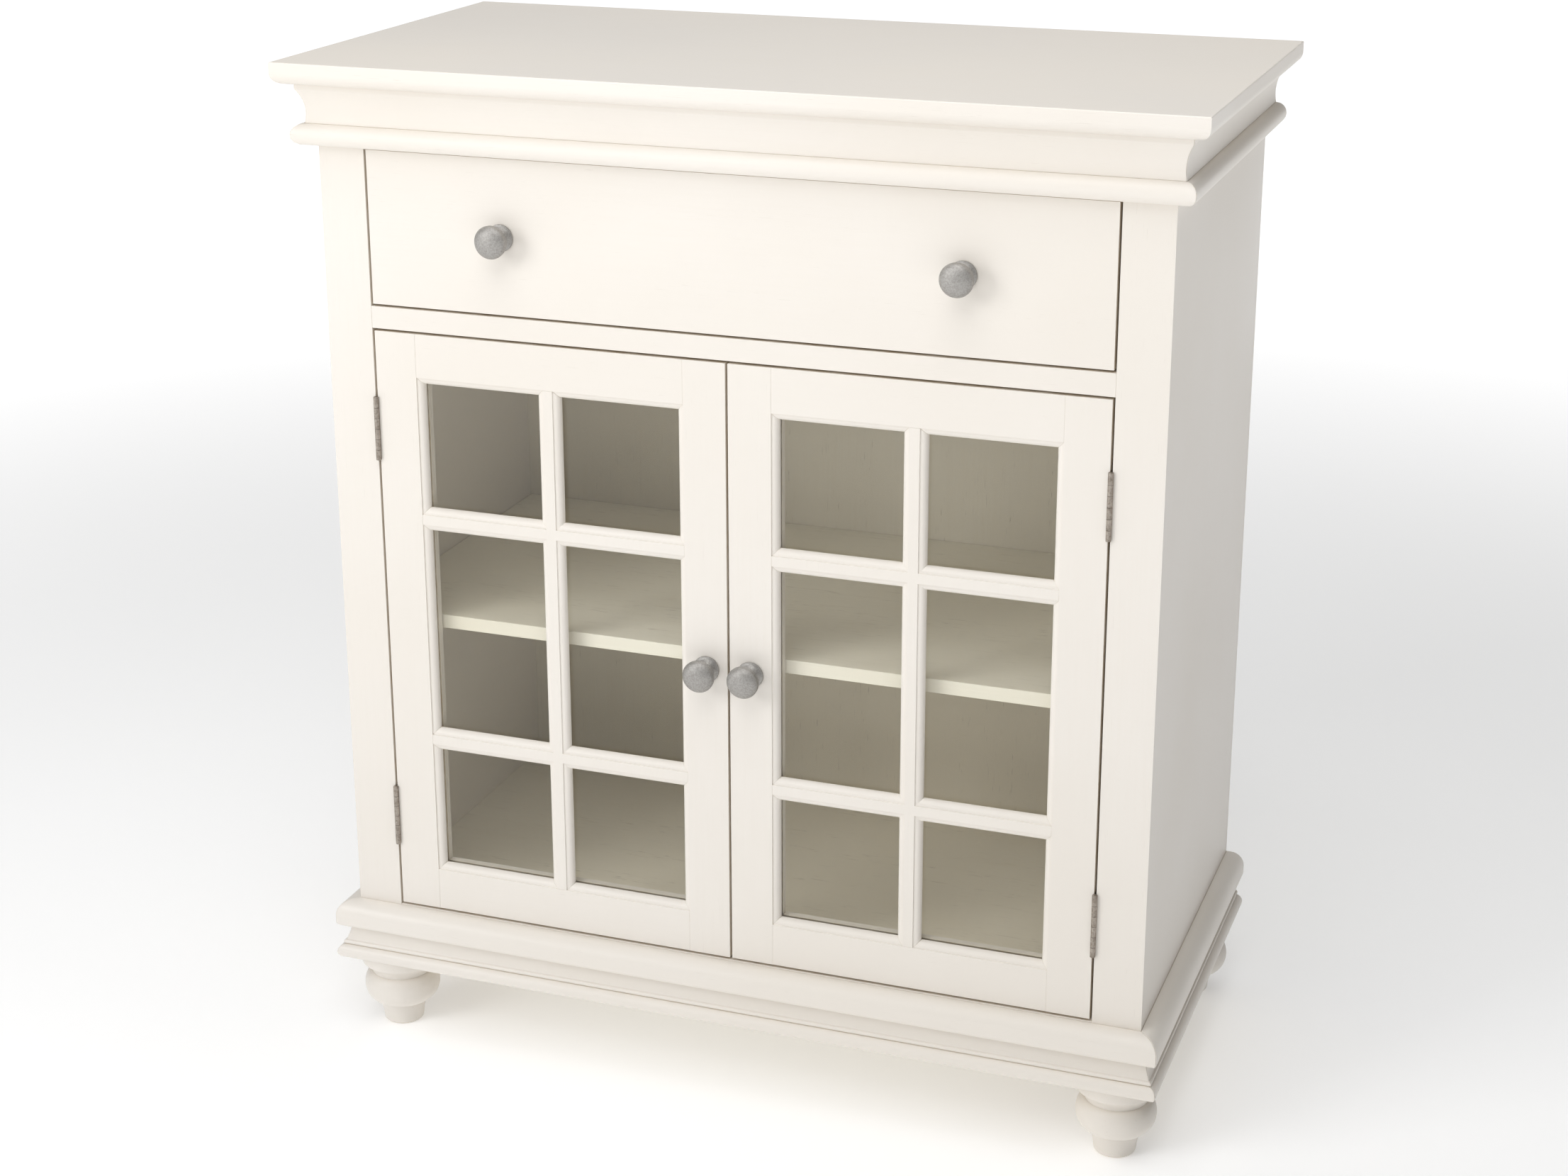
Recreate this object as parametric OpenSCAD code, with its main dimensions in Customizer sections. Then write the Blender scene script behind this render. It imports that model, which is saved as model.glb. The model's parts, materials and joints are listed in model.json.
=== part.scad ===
// Glazed two-door cabinet with one wide drawer, moulded top and base, and four turned feet.
// Millimetres, +Z up. The origin is on the floor, under the middle of the whole cabinet,
// and the front faces -Y. Pieces are drawn with y = 0 on the front face of the case.

/* [Case] */
// Width of the case, across the outer faces of the side panels
case_w = 756; // [600:1:1100]
// Depth of the case, from the face frame's front to the back panel
case_d = 380; // [300:1:520]
// Height of the whole cabinet
total_h = 933; // [800:1:1200]
// Thickness of the side panels
side_t = 12; // [9:0.5:20]
// Thickness of the bottom panel
floor_t = 12; // [9:0.5:20]
// Thickness of the back panel
back_t = 4; // [3:0.5:9]
// Thickness of the panel under the drawer
dust_t = 6; // [4:0.5:12]
// Width of each face-frame stile
stile_w = 43.5; // [35:0.5:60]
// Thickness of the face frame
frame_t = 18; // [15:0.5:25]
// Height of the rail between drawer and doors
mid_rail_h = 20; // [16:0.5:40]
// Gap all round the drawer front and the doors
gap = 2.2; // [1.5:0.1:3.5]

/* [Top] */
// Thickness of the top
top_t = 19.5; // [15:0.5:30]
// Reach of the top past the case at the front and sides
top_reach = 28.5; // [22:0.5:40]
// Reach of the top past the case at the back
top_back = 7; // [0:0.5:15]
// Radius of the quarter round under the edge of the top
top_round = 10; // [6:0.5:14]

/* [Cornice] */
// Height of the hollow moulding under the top
cove_h = 35; // [25:0.5:50]
// Reach of the hollow moulding at its upper edge
cove_reach = 13.5; // [10:0.5:18]
// Height of the upright lip at the top of the hollow moulding
cove_lip = 5; // [3:0.5:8]
// Least thickness of the hollow moulding
cove_web = 7; // [5:0.5:9]
// Height of the half-round bead under the hollow moulding
bead_h = 19; // [12:0.5:26]
// Reach of the half-round bead
bead_reach = 18; // [15:0.5:24]
// Open joint between two mitred pieces
mitre_gap = 0.2; // [0.1:0.1:0.5]

/* [Base] */
// Height of the nosing at the top of the base
nosing_h = 25; // [20:0.5:32]
// Reach of the nosing
nosing_reach = 18; // [15:0.5:24]
// Radius of the nosing's upper edge
nosing_round = 13; // [8:0.5:15]
// Height of the flared moulding under the nosing
flare_h = 20; // [14:0.5:30]
// Thickness of the flared moulding at its upper edge
flare_web = 7; // [5:0.5:9]
// Reach of the flared moulding at its lower edge
flare_reach = 13.5; // [10:0.5:16]
// Height of the lowest bead
foot_bead_h = 14; // [10:0.5:20]
// Reach of the lowest bead
foot_bead_reach = 18.5; // [15:0.5:24]

/* [Feet] */
// Height of a foot below the base
foot_h = 77; // [50:1:120]
// Radius of a foot at its bulb
foot_bulb_r = 36; // [28:0.5:42]
// Height of a foot's bulb at its widest
foot_bulb_z = 39; // [20:0.5:60]
// Radius of a foot's upper disc
foot_disc_r = 38; // [30:0.5:40]
// Height of a foot's upper disc
foot_disc_h = 13; // [4:0.5:20]
// Radius of the waist between the upper disc and the bulb
foot_neck_r = 28.5; // [18:0.5:32]
// Height of the hollow between the upper disc and the bulb
foot_neck_h = 11; // [5:0.5:20]
// Radius of a foot where the tapered part leaves the bulb
foot_ankle_r = 22.5; // [15:0.5:26]
// Height of a foot's tapered part
foot_ankle_h = 22.5; // [8:0.5:30]
// Radius of a foot at the floor, before its edge is rounded
foot_toe_r = 19; // [12:0.5:22]
// Distance of a foot's axis from the side faces of the case
foot_inset_x = 25; // [22:0.5:60]
// Distance of a front foot's axis from the face
foot_inset_front = 28.5; // [25:0.5:60]
// Distance of a back foot's axis from the back of the case
foot_inset_back = 35.5; // [32:0.5:60]
// Size of the square block that a foot is bolted to
foot_block = 56; // [46:1:80]
// Radius of the bolt that holds a foot
foot_bolt_r = 4; // [3:0.5:6]
// Length of the bolt that holds a foot
foot_bolt_l = 60; // [40:1:70]

/* [Doors] */
// Thickness of a door
door_t = 18; // [16:0.5:25]
// Width of the flat face of a door stile
door_stile_w = 39; // [30:0.5:60]
// Height of the flat face of a door rail
door_rail_h = 40; // [30:0.5:60]
// Width of the flat face of a glazing bar
bar_w = 9.5; // [6:0.5:16]
// Width of the rounded edge round each pane
stick_w = 6; // [4:0.5:8]
// Depth of the small step beside the rounded edge
stick_step = 1.2; // [0.6:0.1:2]
// Depth of the wood in front of the glass
glaze_front = 8; // [7.5:0.1:9]
// Thickness of the glass
glass_t = 3; // [2:0.5:4]
// Gap round the edge of the glass
glass_gap = 0.5; // [0.3:0.1:1]
// Height of the middle row of panes, as a share of an end row
mid_pane_ratio = 1.67; // [1:0.01:2.5]

/* [Hinges] */
// Length of a hinge
hinge_l = 58; // [40:1:80]
// Distance from a door's end to the middle of the nearer hinge
hinge_inset = 90; // [60:1:130]
// Radius of a hinge's barrel
barrel_r = 2.3; // [2:0.1:3]
// Radius of a hinge pin
hinge_pin_r = 1.3; // [1:0.05:1.5]
// Running clearance round a hinge pin
pin_clear = 0.05; // [0.02:0.01:0.09]
// Thickness of a hinge leaf
leaf_t = 1; // [0.8:0.1:1.5]
// Depth of a hinge leaf
leaf_w = 14; // [10:0.5:15]
// Depth that a hinge leaf is let into the wood
leaf_let = 0.6; // [0.3:0.1:0.8]
// Distance of the barrel's axis from the face
barrel_out = 1.8; // [1.5:0.1:2.4]
// Gap between a knuckle and what turns past it
knuckle_gap = 0.3; // [0.2:0.05:0.5]
// Radius of a hinge screw's shank
hinge_screw_r = 1.2; // [1:0.1:1.5]
// Length of a hinge screw
hinge_screw_l = 14; // [10:1:18]

/* [Drawer] */
// Height of the opening for the drawer
drawer_open_h = 141; // [110:1:180]
// Thickness of the drawer's front
drawer_front_t = 18; // [15:0.5:25]
// Depth of the drawer box behind its front
drawer_box_d = 338; // [240:1:350]
// Height of the drawer's sides
drawer_side_h = 104; // [60:1:115]
// Thickness of the drawer's sides and back
drawer_side_t = 12; // [9:0.5:16]
// Thickness of the drawer's bottom
drawer_floor_t = 4; // [3:0.5:8]
// Depth of the grooves that hold the drawer's bottom
groove_d = 5; // [3:0.5:6]
// Height of the drawer's bottom above the lower edge of its sides
groove_h = 8; // [5:0.5:15]
// Gap between the drawer's sides and their guides
drawer_clear = 0.5; // [0.4:0.1:1.5]
// Height of the drawer's sides above their runners
runner_gap = 0.3; // [0.3:0.1:0.6]
// Width of a drawer runner inside its guide
runner_w = 16; // [13:1:30]
// Height of a drawer guide above its runner
guide_h = 22; // [12:1:40]

/* [Knobs] */
// Radius of a knob
knob_r = 14.5; // [10:0.5:18]
// Reach of a knob from the face
knob_reach = 27.5; // [22:0.5:28]
// Radius of a knob's base
knob_base_r = 12; // [9:0.5:14]
// Radius of a knob's neck
knob_neck_r = 6.2; // [4.5:0.1:8]
// Distance of each drawer knob from the drawer's middle
knob_spread = 206; // [120:1:280]
// Radius of a knob screw
knob_screw_r = 2; // [1.5:0.1:2.5]
// Radius of a knob screw's head
screw_head_r = 4.2; // [3.5:0.1:5]
// Height of a knob screw's head
screw_head_h = 2.2; // [1.5:0.1:3]

/* [Shelf] */
// Thickness of the shelf
shelf_t = 13; // [10:0.5:20]
// Height of the shelf's top
shelf_z = 427; // [300:1:520]
// Gap between the shelf and the panels beside it
shelf_gap = 0.5; // [0.3:0.1:2]
// Radius of a shelf pin
shelf_pin_r = 2.5; // [2:0.1:3.5]
// Length of a shelf pin
shelf_pin_l = 16; // [12:1:20]
// Distance of the shelf's front edge behind the doors
shelf_setback = 4; // [4:1:60]
// Distance of a shelf pin from the shelf's front or back edge
shelf_pin_inset = 40; // [20:1:80]

/* [Catches] */
// Width of a magnetic catch
catch_w = 30; // [20:1:50]
// Depth of a magnetic catch
catch_d = 14; // [10:1:20]
// Height of a magnetic catch
catch_h = 12; // [8:1:16]
// Distance of a catch from the middle of the cabinet
catch_inset = 8; // [4:1:30]
// Height of a strike plate
strike_h = 8; // [5:0.5:10]
// Thickness of a strike plate
strike_t = 1; // [0.6:0.1:1.5]
// Gap between a strike plate and its catch
strike_gap = 0.4; // [0.3:0.1:1]

/* [Hidden] */

// Colours
paint = "ivory";
inside_paint = "antiquewhite";
bare_wood = "burlywood";
pewter = "slategray";
nickel = "silver";
glass_tint = [0.8, 0.9, 0.85, 0.35];

// Number of sides that stand for a round face, and of steps in a moulding's arc
$fn = 64;
arc_steps = 8;

// Depths: the whole cabinet is centred on y = 0
total_d = top_reach + case_d + top_back;
face_y = top_reach - total_d / 2;
panel_y = case_d - back_t;

// Widths
half_w = case_w / 2;
open_half = half_w - stile_w;
inner_half = half_w - side_t;

// Heights, from the floor up
flare_z = foot_h + foot_bead_h;
nosing_z = flare_z + flare_h;
base_top = nosing_z + nosing_h;
sill_step = 1;
floor_z = base_top + sill_step;
top_z = total_h - top_t;
cove_z = top_z - cove_h;
bead_z = cove_z - bead_h;
drawer_open_z = bead_z - drawer_open_h;
mid_rail_z = drawer_open_z - mid_rail_h;

// Drawer front
drawer_front_half = open_half - gap;
drawer_front_z = drawer_open_z + gap;
drawer_front_top = bead_z - gap;
drawer_box_half = drawer_front_half - drawer_clear;
drawer_box_y = drawer_front_t + drawer_box_d;
drawer_box_z = drawer_open_z + runner_gap;
drawer_box_top = drawer_box_z + drawer_side_h;
drawer_floor_half = drawer_box_half - drawer_side_t + groove_d;
drawer_floor_z = drawer_box_z + groove_h;
drawer_knob_z = (drawer_front_z + drawer_front_top) / 2;

// Knob screws: the clear hole through a panel, how far a cut runs past a face, and how
// far short of the middle of its knob a screw stops
screw_hole_r = knob_screw_r + 0.3;
cut_over = 1;
screw_short = 2;

// Doors, in a door's own frame: x from its hinge edge, z from its lower edge
door_z = floor_z + gap;
door_h = mid_rail_z - gap - door_z;
door_w = open_half - 1.5 * gap;
pane_w = (door_w - 2 * door_stile_w - bar_w - 4 * stick_w) / 2;
panes_h = door_h - 2 * door_rail_h - 2 * bar_w - 6 * stick_w;
end_pane_h = panes_h / (2 + mid_pane_ratio);
mid_pane_h = end_pane_h * mid_pane_ratio;
row_heights = [end_pane_h, mid_pane_h, end_pane_h];
row_step = 2 * stick_w + bar_w;
function rows_below(i) = i == 0 ? 0 : rows_below(i - 1) + row_heights[i - 1] + row_step;
rows = [for (i = [0:2]) let (low = door_rail_h + stick_w + rows_below(i)) [low, low + row_heights[i]]];
col_low = door_stile_w + stick_w;
cols = [[col_low, col_low + pane_w], [col_low + pane_w + row_step, col_low + 2 * pane_w + row_step]];
bar_x = cols[0][1] + stick_w;
door_knob_x = door_w - door_stile_w / 2;

// Hinges, in the same frame: the barrel's axis stands over the middle of the gap, and a pin's
// head clears the edges on either side of it
axis_x = -gap / 2;
axis_y = -barrel_out;
hinge_mids = [hinge_inset, door_h - hinge_inset];
knuckles = 6;
knuckle_l = (hinge_l - (knuckles - 1) * knuckle_gap) / knuckles;
knuckle_step = knuckle_l + knuckle_gap;
swing_r = barrel_r + knuckle_gap;
leaf_y = axis_y + swing_r + knuckle_gap;
screw_rows = [-0.34, 0, 0.34] * hinge_l;
pin_head_h = 0.8;
pin_head_clear = 0.11;
pin_head_r = norm([axis_x, axis_y]) - pin_head_clear;

// ---- Shared shapes ----

function oval(x, y, rx, ry, from, to) =
    [for (i = [0:arc_steps]) let (a = from + (to - from) * i / arc_steps) [x + rx * cos(a), y + ry * sin(a)]];

function arc(x, y, r, from, to) = oval(x, y, r, r, from, to);

// Points of a curve that leaves start along the height and bends to end: power 1 is a straight line
function flare(start, end, power) =
    [for (i = [0:arc_steps]) let (t = i / arc_steps)
        [start[0] + (end[0] - start[0]) * pow(t, power), start[1] + (end[1] - start[1]) * t]];

// A box from its low corner to its high corner
module block(low, high) {
    translate(low) cube(high - low);
}

function reverse(points) = [for (i = [len(points) - 1:-1:0]) points[i]];

// Moves a piece from the front face's frame to the cabinet's frame
module placed() {
    translate([0, face_y, 0]) children();
}

// A right-hand piece is the mirror image of the left-hand one
module handed(side) {
    mirror([side == "right" ? 1 : 0, 0, 0]) children();
}

// The left-hand and the right-hand copy of a piece
module both_hands() {
    for (side = ["left", "right"]) handed(side) children();
}

// Extrudes a profile drawn in (reach, height) across the front, reaching towards -Y
module along_front(length) {
    rotate([90, 0, 90]) translate([0, 0, -length / 2]) linear_extrude(length) mirror([1, 0, 0]) children();
}

// A profile run round the front and sides of the case, mitred at the front and square at the back
module moulding(reach) {
    end_x = half_w - mitre_gap;
    // Front piece
    intersection() {
        along_front(case_w + 2 * reach) children();
        linear_extrude(total_h)
            polygon([[-end_x, 0], [-end_x - reach, -reach], [end_x + reach, -reach], [end_x, 0]]);
    }
    // Side pieces
    both_hands() intersection() {
        translate([-half_w, case_d, 0]) rotate([90, 0, 0]) linear_extrude(case_d + reach)
            mirror([1, 0, 0]) children();
        linear_extrude(total_h)
            polygon([[-half_w, 0], [-half_w - reach, -reach], [-half_w - reach, case_d], [-half_w, case_d]]);
    }
}

// ---- Case ----

module side_panel() {
    difference() {
        block([-half_w, frame_t, foot_h], [-inner_half, case_d, top_z]);
        shelf_pin_holes();
    }
}

module left_side() {
    color(paint) placed() side_panel();
}

module right_side() {
    color(paint) placed() handed("right") side_panel();
}

module back_panel() {
    color(inside_paint) placed() block([-inner_half, panel_y, nosing_z], [inner_half, case_d, top_z]);
}

module bottom_panel() {
    color(inside_paint) placed() block([-inner_half, frame_t, floor_z - floor_t], [inner_half, panel_y, floor_z]);
}

module dust_panel() {
    color(inside_paint) placed()
        block([-inner_half, frame_t, mid_rail_z], [inner_half, panel_y, mid_rail_z + dust_t]);
}

// The top has its quarter round on the front and sides, and a square back edge
module top() {
    edge = [[0, 0], each arc(top_reach - top_round, top_round, top_round, -90, 0), [top_reach, top_t], [0, top_t]];
    color(paint) placed() translate([0, 0, top_z]) intersection() {
        along_front(case_w + 2 * top_reach) union() {
            polygon(edge);
            translate([-case_d - top_back, 0]) square([case_d + top_back, top_t]);
        }
        rotate([90, 0, 0]) translate([0, 0, -case_d - top_back]) linear_extrude(total_d) union() {
            translate([half_w, 0]) polygon(edge);
            translate([-half_w, 0]) mirror([1, 0, 0]) polygon(edge);
            translate([-half_w, 0]) square([case_w, top_t]);
        }
    }
}

// ---- Face frame ----

module frame_stile() {
    difference() {
        block([-half_w, 0, foot_h], [-open_half, frame_t, top_z]);
        hinge_lets(-open_half - leaf_let);
    }
}

module left_stile() {
    color(paint) placed() frame_stile();
}

module right_stile() {
    color(paint) placed() handed("right") frame_stile();
}

module top_rail() {
    color(paint) placed() block([-open_half, 0, bead_z], [open_half, frame_t, top_z]);
}

module mid_rail() {
    color(paint) placed() block([-open_half, 0, mid_rail_z], [open_half, frame_t, drawer_open_z]);
}

module bottom_rail() {
    color(paint) placed() block([-open_half, 0, foot_h], [open_half, frame_t, floor_z]);
}

// ---- Mouldings ----

// The hollow is one arc through the lip's lower corner, deepest at a quarter of its height
module cornice_cove() {
    hollow_z = cove_h / 4;
    rise = cove_h - cove_lip - hollow_z;
    bulge = cove_reach - cove_web;
    hollow_r = (rise * rise + bulge * bulge) / (2 * bulge);
    color(paint) placed() translate([0, 0, cove_z]) moulding(cove_reach)
        polygon([
            [0, 0], each arc(cove_web + hollow_r, hollow_z, hollow_r,
                             180 + asin(hollow_z / hollow_r), 180 - asin(rise / hollow_r)),
            [cove_reach, cove_h], [0, cove_h],
        ]);
}

module half_round(reach, height) {
    radius = height / 2;
    polygon([[0, 0], each arc(reach - radius, radius, radius, -90, 90), [0, height]]);
}

module cornice_bead() {
    color(paint) placed() translate([0, 0, bead_z]) moulding(bead_reach) half_round(bead_reach, bead_h);
}

module base_nosing() {
    under_r = 4.5;
    color(paint) placed() translate([0, 0, nosing_z]) moulding(nosing_reach)
        polygon([
            [0, 0], each arc(nosing_reach - under_r, under_r, under_r, -90, 0),
            each arc(nosing_reach - nosing_round, nosing_h - nosing_round, nosing_round, 0, 90), [0, nosing_h],
        ]);
}

// A hollow that flares out downwards and ends in a rounded lip
module base_flare() {
    lip_r = 2.2;
    color(paint) placed() translate([0, 0, flare_z]) moulding(flare_reach)
        polygon([
            [0, 0], each arc(flare_reach - lip_r, lip_r, lip_r, -90, 60),
            each reverse(flare([flare_web, flare_h], [flare_reach - lip_r, 2 * lip_r], 1.6)), [0, flare_h],
        ]);
}

module base_bead() {
    color(paint) placed() translate([0, 0, foot_h]) moulding(foot_bead_reach)
        half_round(foot_bead_reach, foot_bead_h);
}

// ---- Feet ----

// The outline, from the floor up: rounded toe, taper, bulb, hollow and disc
module foot() {
    toe_round = 3;
    disc_z = foot_h - foot_disc_h;
    neck_z = disc_z - foot_neck_h;
    disc_edge = 1.5;
    difference() {
        rotate_extrude() polygon([
            [0, 0], each arc(foot_toe_r - toe_round, toe_round, toe_round, -90, 0),
            [foot_ankle_r, foot_ankle_h],
            each oval(foot_ankle_r, foot_bulb_z, foot_bulb_r - foot_ankle_r, foot_bulb_z - foot_ankle_h, -80, 0),
            each oval(foot_neck_r, foot_bulb_z, foot_bulb_r - foot_neck_r, neck_z - foot_bulb_z, 6, 90),
            each flare([foot_neck_r, neck_z + 1], [foot_disc_r - disc_edge, disc_z], 2),
            [foot_disc_r, disc_z + disc_edge], [foot_disc_r, foot_h], [0, foot_h],
        ]);
        foot_bolt_hole();
    }
}

module foot_bolt_hole() {
    play = 0.1;
    translate([0, 0, foot_h - foot_bolt_l / 2]) cylinder(r = foot_bolt_r + play, h = foot_bolt_l);
}

module at_front_left() {
    translate([-half_w + foot_inset_x, foot_inset_front, 0]) children();
}

module at_back_left() {
    translate([-half_w + foot_inset_x, case_d - foot_inset_back, 0]) children();
}

module front_left_foot() {
    color(paint) placed() at_front_left() foot();
}

module front_right_foot() {
    color(paint) placed() handed("right") at_front_left() foot();
}

module back_left_foot() {
    color(paint) placed() at_back_left() foot();
}

module back_right_foot() {
    color(paint) placed() handed("right") at_back_left() foot();
}

module foot_blocks() {
    block_top = floor_z - floor_t;
    color(bare_wood) placed() both_hands() {
        difference() {
            block([-inner_half, frame_t, foot_h], [-inner_half + foot_block, frame_t + foot_block, block_top]);
            at_front_left() foot_bolt_hole();
        }
        difference() {
            block([-inner_half, panel_y - foot_block, foot_h], [-inner_half + foot_block, panel_y, block_top]);
            at_back_left() foot_bolt_hole();
        }
    }
}

module foot_bolt() {
    translate([0, 0, foot_h - foot_bolt_l / 2]) cylinder(r = foot_bolt_r, h = foot_bolt_l);
}

module foot_bolts() {
    color(nickel) placed() both_hands() {
        at_front_left() foot_bolt();
        at_back_left() foot_bolt();
    }
}

// ---- Shelf ----

shelf_y = door_t + shelf_setback;
shelf_back_y = panel_y - shelf_gap;

module shelf() {
    color(inside_paint) placed()
        block([-inner_half + shelf_gap, shelf_y, shelf_z - shelf_t], [inner_half - shelf_gap, shelf_back_y, shelf_z]);
}

// The left-hand pins lie half in the side panel and half under the shelf
module at_shelf_pins() {
    for (y = [shelf_y + shelf_pin_inset, shelf_back_y - shelf_pin_inset])
        translate([-inner_half, y, shelf_z - shelf_t - shelf_pin_r]) rotate([0, 90, 0]) children();
}

module shelf_pin_holes() {
    play = 0.05;
    at_shelf_pins() cylinder(r = shelf_pin_r + play, h = shelf_pin_l, center = true);
}

module shelf_pins() {
    color(nickel) placed() both_hands() at_shelf_pins() cylinder(r = shelf_pin_r, h = shelf_pin_l, center = true);
}

// ---- Hinges, drawn in the left-hand door's own frame ----

// Moves a piece from the left-hand door's frame to the front face's frame
module on_left_door() {
    translate([-open_half + gap, 0, door_z]) children();
}

// Places a piece at the lower end of each of a door's two hinges
module at_hinges() {
    for (mid = hinge_mids) translate([0, 0, mid - hinge_l / 2]) children();
}

// Room in the wood for the leaves, let in from x, and for the barrel to turn
module hinge_pockets(x) {
    at_hinges() {
        block([x, -1, 0], [x + 2 * leaf_let, leaf_y + leaf_w, hinge_l]);
        translate([axis_x, axis_y, 0]) cylinder(r = swing_r, h = hinge_l);
    }
}

// The pockets in the frame's stile, whose edge stands a gap away from the door
module hinge_lets(x) {
    on_left_door() hinge_pockets(x + open_half - gap);
}

// One leaf from x to x + leaf_t, with every second knuckle from the first one up
module hinge_leaf(x, first) {
    difference() {
        union() {
            block([x, leaf_y, 0], [x + leaf_t, leaf_y + leaf_w, hinge_l]);
            for (i = [first:2:knuckles - 1]) translate([0, 0, i * knuckle_step]) {
                translate([axis_x, axis_y, 0]) cylinder(r = barrel_r, h = knuckle_l);
                block([x, axis_y, 0], [x + leaf_t, leaf_y, knuckle_l]);
            }
        }
        translate([axis_x, axis_y, -1]) cylinder(r = hinge_pin_r + pin_clear, h = hinge_l + 2);
        children();
    }
}

// Places a screw at x on a leaf, pointing along +X
module at_leaf_screws(x) {
    for (z = screw_rows) translate([x, leaf_y + leaf_w / 2, hinge_l / 2 + z]) rotate([0, 90, 0]) children();
}

module screw_sink() {
    play = 0.1;
    cylinder(r1 = hinge_screw_r + leaf_t + play, r2 = hinge_screw_r + play, h = leaf_t);
}

module hinge_screw() {
    cylinder(r1 = hinge_screw_r + leaf_t, r2 = hinge_screw_r, h = leaf_t);
    translate([0, 0, leaf_t]) cylinder(r = hinge_screw_r, h = hinge_screw_l - leaf_t);
}

door_leaf_x = leaf_let - leaf_t;
frame_leaf_x = -gap - leaf_let;

module frame_hinge_leaves() {
    color(nickel) placed() both_hands() on_left_door() at_hinges() hinge_leaf(frame_leaf_x, 1)
        at_leaf_screws(frame_leaf_x + leaf_t) mirror([0, 0, 1]) screw_sink();
}

module frame_hinge_screws() {
    color(nickel) placed() both_hands() on_left_door() at_hinges()
        at_leaf_screws(frame_leaf_x + leaf_t) mirror([0, 0, 1]) hinge_screw();
}

module hinge_pins() {
    color(nickel) placed() both_hands() on_left_door() at_hinges() translate([axis_x, axis_y, 0]) {
        translate([0, 0, knuckle_gap]) cylinder(r = hinge_pin_r, h = hinge_l - knuckle_gap);
        translate([0, 0, hinge_l]) cylinder(r = pin_head_r, h = pin_head_h);
    }
}

// ---- Doors, drawn as the left-hand one ----

// Outline across a stile or rail, in (distance from its outer edge, depth), with a rebate for the glass
module framing_profile(flat_w) {
    polygon([
        [0, 0], [flat_w, 0], each arc(flat_w, stick_step + stick_w, stick_w, -90, 0),
        [flat_w + stick_w, glaze_front], [flat_w, glaze_front], [flat_w, door_t], [0, door_t],
    ]);
}

// Outline across a glazing bar, from one rounded edge to the other
module bar_profile() {
    round_y = stick_step + stick_w;
    polygon([
        [0, 0], [bar_w, 0], each arc(bar_w, round_y, stick_w, -90, 0),
        [bar_w + stick_w, glaze_front], [-stick_w, glaze_front], each arc(0, round_y, stick_w, 180, 270),
    ]);
}

// Extrudes an outline of (x, y) up the door, and one of (z, y) across it
module up_door() {
    linear_extrude(door_h) children();
}

module across_door() {
    translate([door_w, 0, 0]) rotate([0, -90, 0]) linear_extrude(door_w) children();
}

// Keeps the part of a piece inside an outline drawn on the door's face, in (x, z)
module within(outline) {
    intersection() {
        children();
        translate([0, door_t + 1, 0]) rotate([90, 0, 0]) linear_extrude(door_t + 2) polygon(outline);
    }
}

// The mitred edge of a piece beside each pane, from low to high, at x and reaching to x + side * stick_w
function mitres(x, side, spans) =
    [for (span = spans) each [
        [x, span[0] - stick_w], [x + side * stick_w, span[0]], [x + side * stick_w, span[1]], [x, span[1] + stick_w],
    ]];

function swapped(points) = [for (point = points) [point[1], point[0]]];

module door_stile() {
    within([
        [0, 0], [door_stile_w, 0], each mitres(door_stile_w, 1, rows), [door_stile_w, door_h], [0, door_h],
    ])
        up_door() framing_profile(door_stile_w);
}

module door_hinge_stile() {
    difference() {
        door_stile();
        hinge_pockets(-leaf_let);
    }
}

module door_meeting_stile() {
    difference() {
        translate([door_w, 0, 0]) mirror([1, 0, 0]) door_stile();
        translate([door_knob_x, -cut_over, door_h / 2]) rotate([-90, 0, 0])
            cylinder(r = screw_hole_r, h = door_t + 2 * cut_over);
    }
}

module door_rail() {
    within([
        [door_stile_w, 0], each swapped(mitres(door_rail_h, 1, cols)), [door_w - door_stile_w, 0],
    ]) across_door() framing_profile(door_rail_h);
}

module door_bottom_rail() {
    door_rail();
}

module door_top_rail() {
    translate([0, 0, door_h]) mirror([0, 0, 1]) door_rail();
}

// One upright bar the whole height of the glass, and four cross bars let in beside it
module door_bars() {
    within([
        each mitres(bar_x + bar_w, 1, rows), each reverse(mitres(bar_x, -1, rows)),
    ]) up_door() translate([bar_x, 0]) bar_profile();
    for (i = [0, 1]) let (z = rows[i][1] + stick_w) for (col = cols)
        within([
            each swapped(mitres(z, -1, [col])), each reverse(swapped(mitres(z + bar_w, 1, [col]))),
        ]) across_door() translate([z, 0]) bar_profile();
}

module door_glass() {
    inset_x = door_stile_w + glass_gap;
    inset_z = door_rail_h + glass_gap;
    block([inset_x, glaze_front, inset_z], [door_w - inset_x, glaze_front + glass_t, door_h - inset_z]);
}

// Four strips that hold the glass in its rebate
module door_beads() {
    back_y = glaze_front + glass_t;
    high_x = door_w - door_stile_w;
    high_z = door_h - door_rail_h;
    low_x = door_stile_w;
    low_z = door_rail_h;
    joint = 0.2;
    for (x = [low_x, high_x - stick_w]) block([x, back_y, low_z], [x + stick_w, door_t, high_z]);
    for (z = [low_z, high_z - stick_w])
        block([low_x + stick_w + joint, back_y, z], [high_x - stick_w - joint, door_t, z + stick_w]);
}

module door_leaves() {
    at_hinges() hinge_leaf(door_leaf_x, 0) at_leaf_screws(door_leaf_x) screw_sink();
}

module door_leaf_screws() {
    at_hinges() at_leaf_screws(door_leaf_x) hinge_screw();
}

module door_strike() {
    high_x = door_w + gap / 2 - catch_inset;
    high_z = door_h - 1;
    block([high_x - catch_w, door_t, high_z - strike_h], [high_x, door_t + strike_t, high_z]);
}

// ---- Knobs, standing on the face and pointing along -Y ----

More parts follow.
